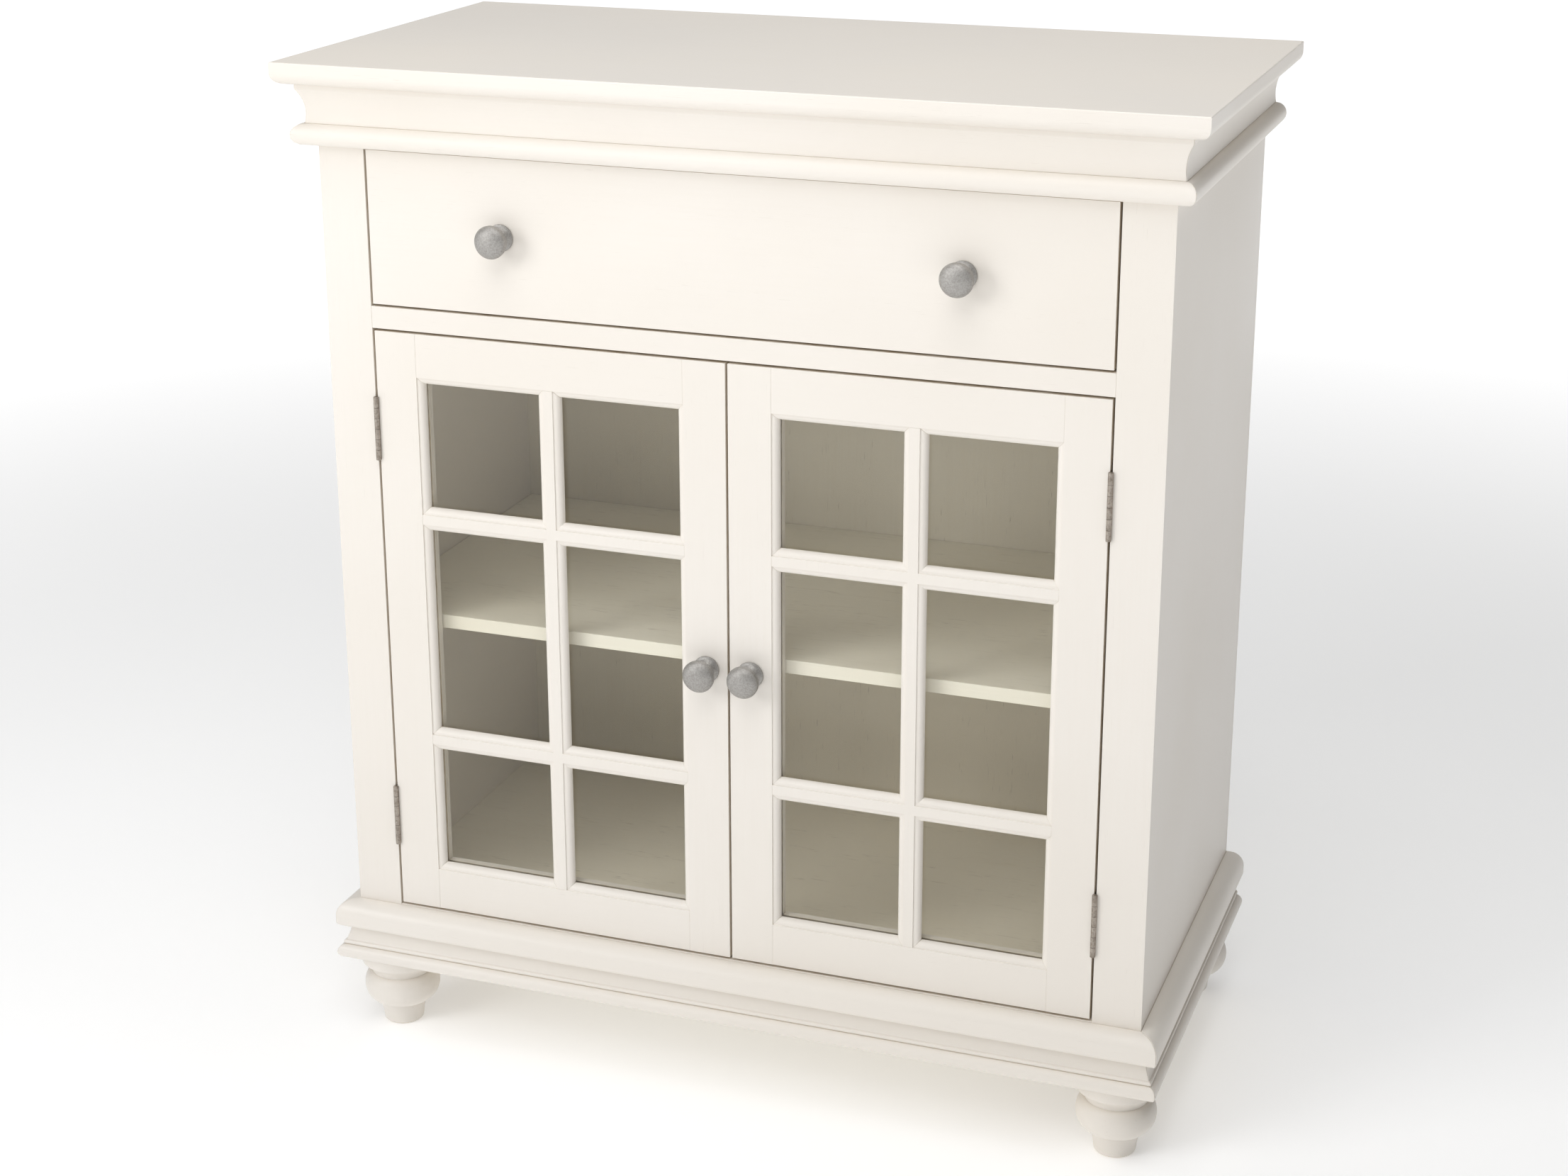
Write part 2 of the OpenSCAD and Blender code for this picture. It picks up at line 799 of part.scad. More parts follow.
module knob() {
    base_h = 2.4;
    neck_h = 9.5;
    ring_t = 1.2;
    ring_r = knob_r - 0.2;
    ring_z = knob_reach - 10.4;
    rim_z = knob_reach - 7;
    screw_play = 0.05;
    rotate([90, 0, 0]) difference() {
        rotate_extrude() polygon([
            [0, 0], each arc(knob_base_r - 1, 1, 1, -90, 30),
            each reverse(flare([knob_neck_r, neck_h], [knob_base_r - 1, base_h], 2.4)),
            each flare([knob_neck_r, neck_h + 0.5], [ring_r - ring_t, ring_z], 2.2),
            each arc(ring_r - ring_t, ring_z + ring_t, ring_t, -90, 90),
            [ring_r - ring_t, rim_z - 0.7], [knob_r - 0.4, rim_z - 0.5],
            each oval(0, rim_z, knob_r, knob_reach - rim_z, 0, 90),
        ]);
        translate([0, 0, -cut_over]) cylinder(r = knob_screw_r + screw_play, h = knob_reach / 2 + cut_over);
    }
}

// The head lies against the back of a panel, panel_t behind the face
module knob_screw(panel_t) {
    translate([0, panel_t, 0]) rotate([90, 0, 0]) {
        cylinder(r = knob_screw_r, h = panel_t + knob_reach / 2 - screw_short);
        translate([0, 0, -screw_head_h]) cylinder(r = screw_head_r, h = screw_head_h);
    }
}

module at_door_knob() {
    translate([door_knob_x, 0, door_h / 2]) children();
}

// ---- Left-hand door ----

module left_door_hinge_stile() {
    color(paint) placed() on_left_door() door_hinge_stile();
}

module left_door_meeting_stile() {
    color(paint) placed() on_left_door() door_meeting_stile();
}

module left_door_top_rail() {
    color(paint) placed() on_left_door() door_top_rail();
}

module left_door_bottom_rail() {
    color(paint) placed() on_left_door() door_bottom_rail();
}

module left_door_bars() {
    color(paint) placed() on_left_door() door_bars();
}

module left_door_glass() {
    color(glass_tint) placed() on_left_door() door_glass();
}

module left_door_beads() {
    color(paint) placed() on_left_door() door_beads();
}

module left_door_knob() {
    color(pewter) placed() on_left_door() at_door_knob() knob();
}

module left_door_knob_screw() {
    color(nickel) placed() on_left_door() at_door_knob() knob_screw(door_t);
}

module left_door_leaves() {
    color(nickel) placed() on_left_door() door_leaves();
}

module left_door_leaf_screws() {
    color(nickel) placed() on_left_door() door_leaf_screws();
}

module left_door_strike() {
    color(nickel) placed() on_left_door() door_strike();
}

// ---- Right-hand door ----

module right_door_hinge_stile() {
    handed("right") left_door_hinge_stile();
}

module right_door_meeting_stile() {
    handed("right") left_door_meeting_stile();
}

module right_door_top_rail() {
    handed("right") left_door_top_rail();
}

module right_door_bottom_rail() {
    handed("right") left_door_bottom_rail();
}

module right_door_bars() {
    handed("right") left_door_bars();
}

module right_door_glass() {
    handed("right") left_door_glass();
}

module right_door_beads() {
    handed("right") left_door_beads();
}

module right_door_knob() {
    handed("right") left_door_knob();
}

module right_door_knob_screw() {
    handed("right") left_door_knob_screw();
}

module right_door_leaves() {
    handed("right") left_door_leaves();
}

module right_door_leaf_screws() {
    handed("right") left_door_leaf_screws();
}

module right_door_strike() {
    handed("right") left_door_strike();
}

// ---- Catches, fixed under the panel behind the mid rail ----

module door_catches() {
    catch_y = door_t + strike_t + strike_gap;
    color(inside_paint) placed() both_hands()
        block([-catch_inset - catch_w, catch_y, mid_rail_z - catch_h], [-catch_inset, catch_y + catch_d, mid_rail_z]);
}

// ---- Drawer ----

// Each runner is one strip, stepped so that it also guides the drawer's side
module drawer_runners() {
    low_z = mid_rail_z + dust_t;
    guide_x = -drawer_front_half;
    color(bare_wood) placed() both_hands()
        translate([0, panel_y, 0]) rotate([90, 0, 0]) linear_extrude(panel_y - frame_t) polygon([
            [-inner_half, low_z], [guide_x + runner_w, low_z], [guide_x + runner_w, drawer_open_z],
            [guide_x, drawer_open_z], [guide_x, drawer_open_z + guide_h], [-inner_half, drawer_open_z + guide_h],
        ]);
}

module drawer_front() {
    color(paint) placed() difference() {
        block([-drawer_front_half, 0, drawer_front_z], [drawer_front_half, drawer_front_t, drawer_front_top]);
        drawer_bottom_shape();
        both_hands() translate([-knob_spread, -cut_over, drawer_knob_z]) rotate([-90, 0, 0])
            cylinder(r = screw_hole_r, h = drawer_front_t + 2 * cut_over);
    }
}

module drawer_sides() {
    color(bare_wood) placed() difference() {
        both_hands() block([-drawer_box_half, drawer_front_t, drawer_box_z],
                           [-drawer_box_half + drawer_side_t, drawer_box_y, drawer_box_top]);
        drawer_bottom_shape();
    }
}

module drawer_back() {
    inner = drawer_box_half - drawer_side_t;
    color(bare_wood) placed()
        block([-inner, drawer_box_y - drawer_side_t, drawer_floor_z + drawer_floor_t],
              [inner, drawer_box_y, drawer_box_top]);
}

module drawer_bottom_shape() {
    block([-drawer_floor_half, drawer_front_t - groove_d, drawer_floor_z],
          [drawer_floor_half, drawer_box_y, drawer_floor_z + drawer_floor_t]);
}

module drawer_bottom() {
    color(bare_wood) placed() drawer_bottom_shape();
}

module at_drawer_knobs() {
    both_hands() translate([-knob_spread, 0, drawer_knob_z]) children();
}

module drawer_knobs() {
    color(pewter) placed() at_drawer_knobs() knob();
}

module drawer_knob_screws() {
    color(nickel) placed() at_drawer_knobs() knob_screw(drawer_front_t);
}

left_side();
right_side();
back_panel();
bottom_panel();
dust_panel();
top();
left_stile();
right_stile();
top_rail();
mid_rail();
bottom_rail();
cornice_cove();
cornice_bead();
base_nosing();
base_flare();
base_bead();
front_left_foot();
front_right_foot();
back_left_foot();
back_right_foot();
foot_blocks();
foot_bolts();
shelf();
shelf_pins();
drawer_runners();
door_catches();
frame_hinge_leaves();
frame_hinge_screws();
hinge_pins();
drawer_front();
drawer_sides();
drawer_back();
drawer_bottom();
drawer_knobs();
drawer_knob_screws();
left_door_hinge_stile();
left_door_meeting_stile();
left_door_top_rail();
left_door_bottom_rail();
left_door_bars();
left_door_glass();
left_door_beads();
left_door_knob();
left_door_knob_screw();
left_door_leaves();
left_door_leaf_screws();
left_door_strike();
right_door_hinge_stile();
right_door_meeting_stile();
right_door_top_rail();
right_door_bottom_rail();
right_door_bars();
right_door_glass();
right_door_beads();
right_door_knob();
right_door_knob_screw();
right_door_leaves();
right_door_leaf_screws();
right_door_strike();
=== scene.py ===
"""Dresses the painted cabinet: soft-edged wood, turned feet and knobs, glass, aged metal and a studio."""

import json
import logging
import math
from dataclasses import dataclass, field
from enum import Enum
from typing import Any, Sequence

import bpy
from mathutils import Matrix, Vector

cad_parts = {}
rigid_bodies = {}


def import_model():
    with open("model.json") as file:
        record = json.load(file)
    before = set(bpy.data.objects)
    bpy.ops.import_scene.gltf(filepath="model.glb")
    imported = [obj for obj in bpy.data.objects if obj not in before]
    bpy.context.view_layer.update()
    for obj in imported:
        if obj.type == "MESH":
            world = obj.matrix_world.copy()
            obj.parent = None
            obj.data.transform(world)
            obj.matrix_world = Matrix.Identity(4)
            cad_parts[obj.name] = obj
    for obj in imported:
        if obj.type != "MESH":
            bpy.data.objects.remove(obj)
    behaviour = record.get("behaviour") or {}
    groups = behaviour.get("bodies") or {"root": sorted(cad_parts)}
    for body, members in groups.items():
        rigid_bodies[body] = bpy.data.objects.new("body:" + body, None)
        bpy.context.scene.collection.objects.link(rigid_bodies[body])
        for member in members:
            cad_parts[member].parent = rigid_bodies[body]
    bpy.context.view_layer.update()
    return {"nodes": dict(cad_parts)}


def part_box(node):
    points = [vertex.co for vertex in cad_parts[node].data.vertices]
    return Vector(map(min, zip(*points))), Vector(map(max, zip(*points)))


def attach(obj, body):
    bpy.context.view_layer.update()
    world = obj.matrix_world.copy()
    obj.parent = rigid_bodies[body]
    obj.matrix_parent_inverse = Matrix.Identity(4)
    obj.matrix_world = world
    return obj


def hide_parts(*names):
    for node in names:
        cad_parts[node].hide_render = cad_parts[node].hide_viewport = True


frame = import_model()

LOG = logging.getLogger("cabinet")
MM = 0.001

Colour = tuple[float, float, float]
Profile = list[tuple[float, float]]


class Grain(Enum):
    """The way a board's grain runs, as the share of its pattern's detail along x, y and z."""

    ACROSS = (0.03, 1.0, 1.0)
    DEEP = (1.0, 0.03, 1.0)
    UPRIGHT = (1.0, 1.0, 0.03)
    TURNED = (1.0, 1.0, 0.12)


class Side(Enum):
    """Which hand a door or foot is on."""

    LEFT = "left"
    RIGHT = "right"


# ---------------------------------------------------------------------------
# Node graphs
# ---------------------------------------------------------------------------


class Graph:
    """A material's nodes, added one at a time."""

    def __init__(self, name: str) -> None:
        """Starts an empty material.

        Args:
            name: The material's name.
        """
        self.material = bpy.data.materials.new(name)
        self.material.use_nodes = True
        self.tree = self.material.node_tree
        self.tree.nodes.clear()

    def add(self, kind: str, sockets: dict[Any, Any], **settings: Any) -> bpy.types.Node:
        """Adds a node, sets it and links it.

        Args:
            kind: The node's type.
            sockets: Each input's name or place, with its value or the output that feeds it.
            **settings: The node's own settings.

        Returns:
            The new node.
        """
        node = self.tree.nodes.new(kind)
        for key, value in settings.items():
            setattr(node, key, value)
        for key, value in sockets.items():
            if isinstance(value, bpy.types.NodeSocket):
                self.tree.links.new(value, node.inputs[key])
            else:
                node.inputs[key].default_value = value
        return node

    def place(
        self, scale: Sequence[float] = (1, 1, 1), shift: Sequence[float] = (0, 0, 0)
    ) -> bpy.types.NodeSocket:
        """Gives the object's own coordinates in metres, stretched and shifted."""
        coords = self.add("ShaderNodeTexCoord", {})
        return self.add(
            "ShaderNodeMapping", {"Vector": coords.outputs["Object"], "Scale": scale, "Location": shift}
        ).outputs[0]

    def noise(
        self,
        vector: bpy.types.NodeSocket,
        scale: float,
        detail: float = 2.0,
        rough: float = 0.5,
        warp: float = 0.0,
    ) -> bpy.types.NodeSocket:
        """Gives a noise pattern between 0 and 1.

        Args:
            vector: The coordinates it is read at.
            scale: Its detail per metre.
            detail: How many finer layers it has.
            rough: How strong the finer layers are.
            warp: How far the pattern is pushed about.

        Returns:
            The pattern's value.
        """
        return self.add(
            "ShaderNodeTexNoise",
            {"Vector": vector, "Scale": scale, "Detail": detail, "Roughness": rough, "Distortion": warp},
        ).outputs["Fac"]

    def span(
        self, value: Any, low: float, high: float, start: float = 0.0, end: float = 1.0
    ) -> bpy.types.NodeSocket:
        """Maps low to high onto start to end, and holds it there outside them."""
        return self.add(
            "ShaderNodeMapRange",
            {"Value": value, "From Min": low, "From Max": high, "To Min": start, "To Max": end},
            interpolation_type="SMOOTHSTEP",
        ).outputs[0]

    def maths(self, operation: str, first: Any, second: Any = 0.0) -> bpy.types.NodeSocket:
        """Gives the result of one sum."""
        return self.add("ShaderNodeMath", {0: first, 1: second}, operation=operation).outputs[0]

    def blend(self, share: Any, first: Any, second: Any, mode: str = "MIX") -> bpy.types.NodeSocket:
        """Gives one colour laid over another.

        Args:
            share: How much of the second shows.
            first: The colour below.
            second: The colour above.
            mode: How they blend.

        Returns:
            The blended colour.
        """
        first, second = (opaque(c) if isinstance(c, tuple) else c for c in (first, second))
        return self.add(
            "ShaderNodeMix", {0: share, 6: first, 7: second}, data_type="RGBA", blend_type=mode
        ).outputs[2]

    def relief(self, height: Any, strength: float = 1.0) -> bpy.types.NodeSocket:
        """Turns a height in metres into a normal."""
        bump = self.add("ShaderNodeBump", {"Height": height, "Strength": strength, "Distance": 1.0})
        return bump.outputs[0]

    def crease(self, reach: float) -> bpy.types.NodeSocket:
        """Gives how shut in a point is, from 0 in the open to 1 in a corner."""
        occlusion = self.add("ShaderNodeAmbientOcclusion", {"Distance": reach}, samples=6)
        return self.maths("SUBTRACT", 1.0, occlusion.outputs["AO"])

    def arris(self, radius: float) -> bpy.types.NodeSocket:
        """Gives how near a point is to a sharp edge, from 0 on a flat face."""
        round_normal = self.add("ShaderNodeBevel", {"Radius": radius}, samples=4).outputs[0]
        flat_normal = self.add("ShaderNodeNewGeometry", {}).outputs["Normal"]
        dot = self.add("ShaderNodeVectorMath", {0: round_normal, 1: flat_normal}, operation="DOT_PRODUCT")
        return self.maths("SUBTRACT", 1.0, dot.outputs["Value"])

    def finish(self, shader: bpy.types.Node) -> bpy.types.Material:
        """Puts the shader on the surface.

        Args:
            shader: The node whose shader the surface takes.

        Returns:
            The finished material.
        """
        out = self.add("ShaderNodeOutputMaterial", {})
        self.tree.links.new(shader.outputs[0], out.inputs["Surface"])
        return self.material


def opaque(colour: Colour) -> tuple[float, float, float, float]:
    """Adds full cover to a colour."""
    return (*colour, 1.0)


# ---------------------------------------------------------------------------
# Finishes
# ---------------------------------------------------------------------------


@dataclass(frozen=True)
class Paint:
    """Satin paint brushed over open-grained wood, with grime and painted shade darkening its corners, creases
    and gaps, and wear on its edges.
    """

    name: str
    grain: Grain
    colour: Colour = (0.875, 0.83, 0.77)
    shade: Colour = (0.85, 0.80, 0.73)
    # The darker tan of the painted shade and grime in corners, creases and gaps, and how much of it shows.
    crease_shade_and_grime: Colour = (0.60, 0.47, 0.29)
    bared: Colour = (0.70, 0.60, 0.44)
    crease_shade_and_grime_share: float = 0.75
    pores: float = 0.12
    pore_colour: Colour = (0.30, 0.24, 0.16)
    roughness: float = 0.42
    relief: float = 1.0

    def build(self) -> bpy.types.Material:
        """Makes the material.

        Returns:
            The material.
        """
        g = Graph(self.name)
        along = self.grain.value
        cloud = g.noise(g.place(), 3.0, 3.0)
        strokes = g.noise(g.place(along), 420.0, 3.0, 0.6)
        fibre = g.noise(g.place(along, (0.31, 0.17, 0.53)), 1500.0, 2.0, 0.6, 0.2)
        pore_field = g.span(g.noise(g.place(along), 60.0, 2.0), 0.42, 0.62)
        pore = g.maths("MULTIPLY", g.span(fibre, 0.66, 0.74), pore_field)
        tone = g.blend(g.span(cloud, 0.3, 0.7), self.colour, self.shade)
        tone = g.blend(g.span(strokes, 0.35, 0.75, 0.0, 0.30), tone, self.shade)
        tone = g.blend(g.maths("MULTIPLY", pore, self.pores), tone, self.pore_colour)
        # Painted shade and grime: a darker tan laid into corners, creases and gaps, as far as each point is
        # shut in, broken up in patches.
        corner = g.span(g.crease(7 * MM), 0.55, 1.0, 0.0, self.crease_shade_and_grime_share)
        shade_and_grime_patches = g.span(g.noise(g.place(), 45.0, 4.0, 0.65), 0.3, 0.7, 0.45, 1.0)
        tone = g.blend(g.maths("MULTIPLY", corner, shade_and_grime_patches), tone, self.crease_shade_and_grime)
        chip = g.span(g.noise(g.place((1, 1, 1), (0.7, 0.2, 0.4)), 260.0, 3.0, 0.6), 0.60, 0.66)
        worn = g.maths("MULTIPLY", g.span(g.arris(0.9 * MM), 0.05, 0.16, 0.0, 0.35), chip)
        tone = g.blend(worn, tone, self.bared)
        peel = g.noise(g.place(), 380.0, 2.0)
        height = g.maths("MULTIPLY", strokes, 26e-6 * self.relief)
        height = g.maths("ADD", height, g.maths("MULTIPLY", peel, 14e-6 * self.relief))
        pore_depth = 60e-6 * self.relief * min(1.0, self.pores * 3)
        height = g.maths("SUBTRACT", height, g.maths("MULTIPLY", pore, pore_depth))
        height = g.maths("SUBTRACT", height, g.maths("MULTIPLY", worn, 50e-6))
        gloss = g.span(cloud, 0.3, 0.7, self.roughness - 0.04, self.roughness + 0.05)
        gloss = g.maths("ADD", gloss, g.maths("MULTIPLY", corner, 0.25))
        return g.finish(
            g.add(
                "ShaderNodeBsdfPrincipled",
                {"Base Color": tone, "Roughness": gloss, "Normal": g.relief(height), "IOR": 1.46},
            )
        )


@dataclass(frozen=True)
class BareWood:
    """Sanded softwood with rings, fibre and a few dark streaks."""

    name: str
    grain: Grain
    light: Colour = (0.66, 0.47, 0.27)
    dark: Colour = (0.44, 0.27, 0.13)
    roughness: float = 0.62

    def build(self) -> bpy.types.Material:
        """Makes the material.

        Returns:
            The material.
        """
        g = Graph(self.name)
        along = self.grain.value
        drift = g.noise(g.place(along), 22.0, 2.0, 0.5, 0.6)
        rings = g.maths("FRACT", g.maths("MULTIPLY", drift, 9.0))
        fibre = g.noise(g.place(along), 900.0, 3.0, 0.6)
        tone = g.blend(g.span(rings, 0.2, 0.95, 0.0, 0.65), self.light, self.dark)
        tone = g.blend(g.span(fibre, 0.3, 0.8, 0.0, 0.35), tone, self.dark)
        height = g.maths("MULTIPLY", fibre, 45e-6)
        gloss = g.span(fibre, 0.2, 0.8, self.roughness - 0.08, self.roughness + 0.08)
        return g.finish(
            g.add(
                "ShaderNodeBsdfPrincipled",
                {"Base Color": tone, "Roughness": gloss, "Normal": g.relief(height)},
            )
        )


@dataclass(frozen=True)
class AgedMetal:
    """Cast or plated metal, mottled and dark in its hollows."""

    name: str
    light: Colour
    dark: Colour
    tarnish: Colour
    mottle: float = 700.0
    roughness: float = 0.42
    metallic: float = 0.9
    pits: float = 40e-6

    def build(self) -> bpy.types.Material:
        """Makes the material.

        Returns:
            The material.
        """
        g = Graph(self.name)
        grit = g.noise(g.place(), self.mottle, 4.0, 0.7)
        patch = g.noise(g.place((1, 1, 1), (0.4, 0.1, 0.7)), self.mottle * 0.28, 3.0, 0.6, 0.4)
        speck = g.span(g.noise(g.place(), self.mottle * 2.2, 2.0, 0.6), 0.62, 0.72)
        tone = g.blend(g.span(patch, 0.36, 0.66), self.light, self.dark)
        tone = g.blend(g.span(grit, 0.45, 0.75, 0.0, 0.55), tone, self.tarnish)
        tone = g.blend(g.maths("MULTIPLY", speck, 0.6), tone, self.tarnish)
        hollow = g.span(g.crease(3 * MM), 0.45, 0.95, 0.0, 0.85)
        tone = g.blend(hollow, tone, self.tarnish)
        height = g.maths(
            "SUBTRACT", g.maths("MULTIPLY", grit, self.pits), g.maths("MULTIPLY", speck, self.pits * 1.5)
        )
        gloss = g.span(grit, 0.25, 0.8, self.roughness - 0.1, self.roughness + 0.18)
        gloss = g.maths("ADD", gloss, g.maths("MULTIPLY", hollow, 0.2))
        return g.finish(
            g.add(
                "ShaderNodeBsdfPrincipled",
                {
                    "Base Color": tone,
                    "Roughness": gloss,
                    "Metallic": self.metallic,
                    "Normal": g.relief(height),
                },
            )
        )


@dataclass(frozen=True)
class PaneGlass:
    """Clear window glass, faintly yellow, that mirrors more at a slant."""

    name: str
    tint: Colour = (0.985, 0.985, 0.972)
    straight_on: float = 0.025

    def build(self) -> bpy.types.Material:
        """Makes the material.

        Returns:
            The material.
        """
        g = Graph(self.name)
        wave = g.maths("MULTIPLY", g.noise(g.place(), 14.0, 1.0), 60e-6)
        normal = g.relief(wave)
        facing = g.add("ShaderNodeLayerWeight", {"Blend": 0.5, "Normal": normal}).outputs["Facing"]
        slant = g.maths("MULTIPLY", g.maths("POWER", facing, 5.0), 1.0 - self.straight_on)
        mirror = g.maths("ADD", slant, self.straight_on)
        clear = g.add("ShaderNodeBsdfTransparent", {"Color": opaque(self.tint)}).outputs[0]
        gloss = g.add(
            "ShaderNodeBsdfAnisotropic", {"Color": opaque((1, 1, 1)), "Roughness": 0.02, "Normal": normal}
        )
        return g.finish(g.add("ShaderNodeMixShader", {0: mirror, 1: clear, 2: gloss.outputs[0]}))


@dataclass(frozen=True)
class Plastic:
    """Plain moulded plastic with a fine texture."""

    name: str
    colour: Colour = (0.78, 0.77, 0.72)

    def build(self) -> bpy.types.Material:
        """Makes the material.

        Returns:
            The material.
        """
        g = Graph(self.name)
        grain = g.noise(g.place(), 1200.0, 2.0)
        tone = g.blend(g.span(grain, 0.3, 0.7, 0.0, 0.3), self.colour, tuple(c * 0.9 for c in self.colour))
        return g.finish(
            g.add(
                "ShaderNodeBsdfPrincipled",
                {"Base Color": tone, "Roughness": 0.5, "Normal": g.relief(g.maths("MULTIPLY", grain, 15e-6))},
            )
        )


# Inside paint: brighter and warmer than the outside paint. This is painted light standing in for the light
# and warm bounce inside the case. It also shows more grain, and stronger painted shade and grime in its
# corners.
INSIDE_WITH_PAINTED_LIGHT: dict[str, Any] = {
    "colour": (0.95, 0.90, 0.785),
    "shade": (0.90, 0.835, 0.70),
    "crease_shade_and_grime_share": 0.9,
    "pores": 1.0,
    "roughness": 0.55,
    "relief": 2.0,
}


class Finishes:
    """Every finish of the cabinet, each made once."""

    def __init__(self) -> None:
        """Makes the materials."""
        self.paint = {
            Grain.ACROSS: Paint("paint_across", Grain.ACROSS).build(),
            Grain.DEEP: Paint("paint_deep", Grain.DEEP).build(),
            Grain.UPRIGHT: Paint("paint_upright", Grain.UPRIGHT).build(),
            Grain.TURNED: Paint("paint_turned", Grain.TURNED, pores=0.3, relief=1.6).build(),
        }
        # Inside finishes, brighter than the outside paint as painted light.
        self.inside = {
            Grain.ACROSS: Paint("inside_painted_light_across", Grain.ACROSS, **INSIDE_WITH_PAINTED_LIGHT).build(),
            Grain.UPRIGHT: Paint("inside_painted_light_upright", Grain.UPRIGHT, **INSIDE_WITH_PAINTED_LIGHT).build(),
        }
        # The shelf's paint is lighter still. This is painted light for the light that falls on it through the
        # panes.
        self.shelf = Paint(
            "shelf_paint_painted_light",
            Grain.ACROSS,
            **{**INSIDE_WITH_PAINTED_LIGHT, "colour": (0.95, 0.91, 0.80), "shade": (0.88, 0.83, 0.70)},
        ).build()
        self.bare = {
            Grain.ACROSS: BareWood("bare_across", Grain.ACROSS).build(),
            Grain.DEEP: BareWood("bare_deep", Grain.DEEP).build(),
        }
        self.pewter = AgedMetal(
            "aged_pewter", (0.465, 0.45, 0.43), (0.37, 0.355, 0.335), (0.14, 0.13, 0.115),
            mottle=2400.0, roughness=0.5, metallic=0.65,
        ).build()
        self.nickel = AgedMetal(
            "aged_nickel", (0.44, 0.39, 0.34), (0.30, 0.26, 0.22), (0.11, 0.085, 0.06),
            mottle=600.0, roughness=0.42, metallic=0.8, pits=12e-6,
        ).build()
        self.steel = AgedMetal(
            "zinc_steel", (0.62, 0.62, 0.60), (0.50, 0.50, 0.50), (0.30, 0.28, 0.25),
            mottle=500.0, roughness=0.4, pits=10e-6,
        ).build()
        self.glass = PaneGlass("pane_glass").build()
        self.plastic = Plastic("catch_plastic").build()


# ---------------------------------------------------------------------------
# Modelling
# ---------------------------------------------------------------------------


def only(piece: bpy.types.Object) -> bpy.types.Object:
    """Selects one object and nothing else, and makes it active."""
    bpy.ops.object.select_all(action="DESELECT")
    piece.select_set(True)
    bpy.context.view_layer.objects.active = piece
    return piece


def soften(node: str, name: str, width: float, segments: int = 2) -> bpy.types.Object:
    """Copies a CAD node and rounds its sharp edges.

    Args:
        node: The CAD node.
        name: The new piece's name.
        width: The width of the rounding, in metres.
        segments: How many strips make the rounding.

    Returns:
        The new piece, at the origin.
    """
    only(frame["nodes"][node])
    bpy.ops.object.duplicate()
    piece = bpy.context.object
    piece.name = name
    piece.data.name = name
    for key in list(piece.keys()):
        del piece[key]
    bpy.ops.object.parent_clear(type="CLEAR_KEEP_TRANSFORM")
    piece.data.materials.clear()
    bpy.ops.mesh.customdata_custom_splitnormals_clear()
    bpy.ops.object.mode_set(mode="EDIT")
    bpy.ops.mesh.select_all(action="SELECT")
    bpy.ops.mesh.remove_doubles(threshold=2e-6)
    bpy.ops.mesh.dissolve_limited(angle_limit=math.radians(0.3))
    bpy.ops.object.mode_set(mode="OBJECT")
    bpy.ops.object.shade_smooth_by_angle(angle=math.radians(30))
    bpy.ops.object.modifier_add(type="BEVEL")
    bevel = piece.modifiers[-1]
    bevel.width = width
    bevel.segments = segments
    bevel.limit_method = "ANGLE"
    bevel.angle_limit = math.radians(38)
    bevel.use_clamp_overlap = True
    bevel.harden_normals = True
    bpy.ops.object.modifier_apply(modifier=bevel.name)
    return piece


def copied(piece: bpy.types.Object, name: str, move: Vector, mirror: bool = False) -> bpy.types.Object:
    """Copies a piece with its own mesh.

    Args:
        piece: The piece.
        name: The copy's name.
        move: How far the copy moves.
        mirror: Whether the copy is first mirrored left to right.

    Returns:
        The copy, at the origin.
    """
    only(piece)
    bpy.ops.object.duplicate(linked=False)
    copy = bpy.context.object
    copy.name = name
    copy.data.name = name
    copy.location = move
    if mirror:
        copy.scale.x = -1.0
    bpy.ops.object.transform_apply(location=True, rotation=True, scale=True)
    if mirror:
        bpy.ops.object.mode_set(mode="EDIT")
        bpy.ops.mesh.select_all(action="SELECT")
        bpy.ops.mesh.normals_make_consistent(inside=False)
        bpy.ops.object.mode_set(mode="OBJECT")
    return copy


def turned(name: str, centre: Vector, axis: Vector, outline: Profile, sides: int = 72) -> bpy.types.Object:
    """Turns a solid, as on a lathe, by extruding a disc and resizing it ring by ring.

    Args:
        name: The piece's name.
        centre: The point on its axis that heights are counted from.
        axis: The way that heights are counted, along y or z.
        outline: Its radius and height at each ring, in metres.
        sides: How many sides it has.

    Returns:
        The new piece, at the origin.
    """
    bpy.ops.object.select_all(action="DESELECT")
    first_r, first_h = outline[0]
    along_y = abs(axis.y) > 0.5
    bpy.ops.mesh.primitive_circle_add(
        vertices=sides,
        radius=first_r,
        fill_type="NGON",
        location=centre + axis * first_h,
        rotation=(math.pi / 2, 0, 0) if along_y else (0, 0, 0),
    )
    piece = bpy.context.object
    piece.name = name
    piece.data.name = name
    bpy.ops.object.transform_apply(location=True, rotation=True, scale=True)
    bpy.ops.object.mode_set(mode="EDIT")
    bpy.ops.mesh.select_all(action="SELECT")
    radius, height = first_r, first_h
    for next_r, next_h in outline[1:]:
        bpy.ops.mesh.extrude_region_move(TRANSFORM_OT_translate={"value": axis * (next_h - height)})
        ratio = next_r / radius
        bpy.ops.transform.resize(
            value=(ratio, 1, ratio) if along_y else (ratio, ratio, 1), center_override=centre + axis * next_h
        )
        radius, height = next_r, next_h
    bpy.ops.mesh.select_all(action="SELECT")
    bpy.ops.mesh.remove_doubles(threshold=1e-6)
    bpy.ops.mesh.normals_make_consistent(inside=False)
    bpy.ops.object.mode_set(mode="OBJECT")
    only(piece)
    bpy.ops.object.shade_smooth_by_angle(angle=math.radians(40))
    return piece


